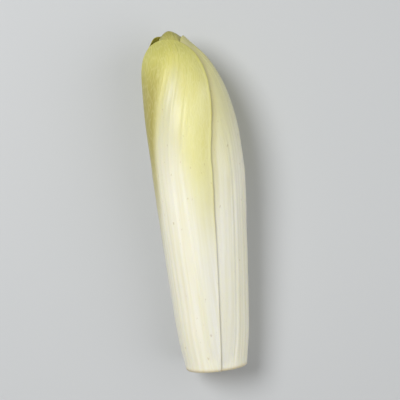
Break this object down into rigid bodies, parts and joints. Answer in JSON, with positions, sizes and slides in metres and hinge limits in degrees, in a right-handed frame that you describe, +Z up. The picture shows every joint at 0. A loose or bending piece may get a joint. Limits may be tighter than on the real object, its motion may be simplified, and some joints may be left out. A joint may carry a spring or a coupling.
{
  "type": "belgian endive",
  "caption": "Cut head of belgian endive lying on its side: pale, tightly wrapped leaves with thick white midribs and yellow tips, round a short stem core.",
  "frame": {"origin": "centre of the head's box in X and Y, at the surface the head lies on", "axes": "+Y along the head from the cut foot to the tip, +Z up, through the head's front"},
  "size_m": [0.0458, 0.165, 0.0443],
  "materials": {
    "leaf_outer": "satin",
    "leaf_inner": "satin",
    "core_flesh": "matte"
  },
  "bodies": {
    "root": {"stem_core": "core_flesh", "outer_leaf_01": "leaf_outer", "outer_leaf_02": "leaf_outer", "outer_leaf_03": "leaf_outer", "outer_leaf_04": "leaf_outer", "outer_leaf_05": "leaf_outer", "outer_leaf_06": "leaf_outer", "middle_leaf_07": "leaf_inner", "middle_leaf_08": "leaf_inner", "middle_leaf_09": "leaf_inner", "middle_leaf_10": "leaf_inner", "middle_leaf_11": "leaf_inner", "middle_leaf_12": "leaf_inner", "inner_leaf_13": "leaf_inner", "inner_leaf_14": "leaf_inner", "inner_leaf_15": "leaf_inner", "inner_leaf_16": "leaf_inner", "inner_leaf_17": "leaf_inner", "inner_leaf_18": "leaf_inner", "heart_bud": "leaf_inner"}
  },
  "joints": []
}
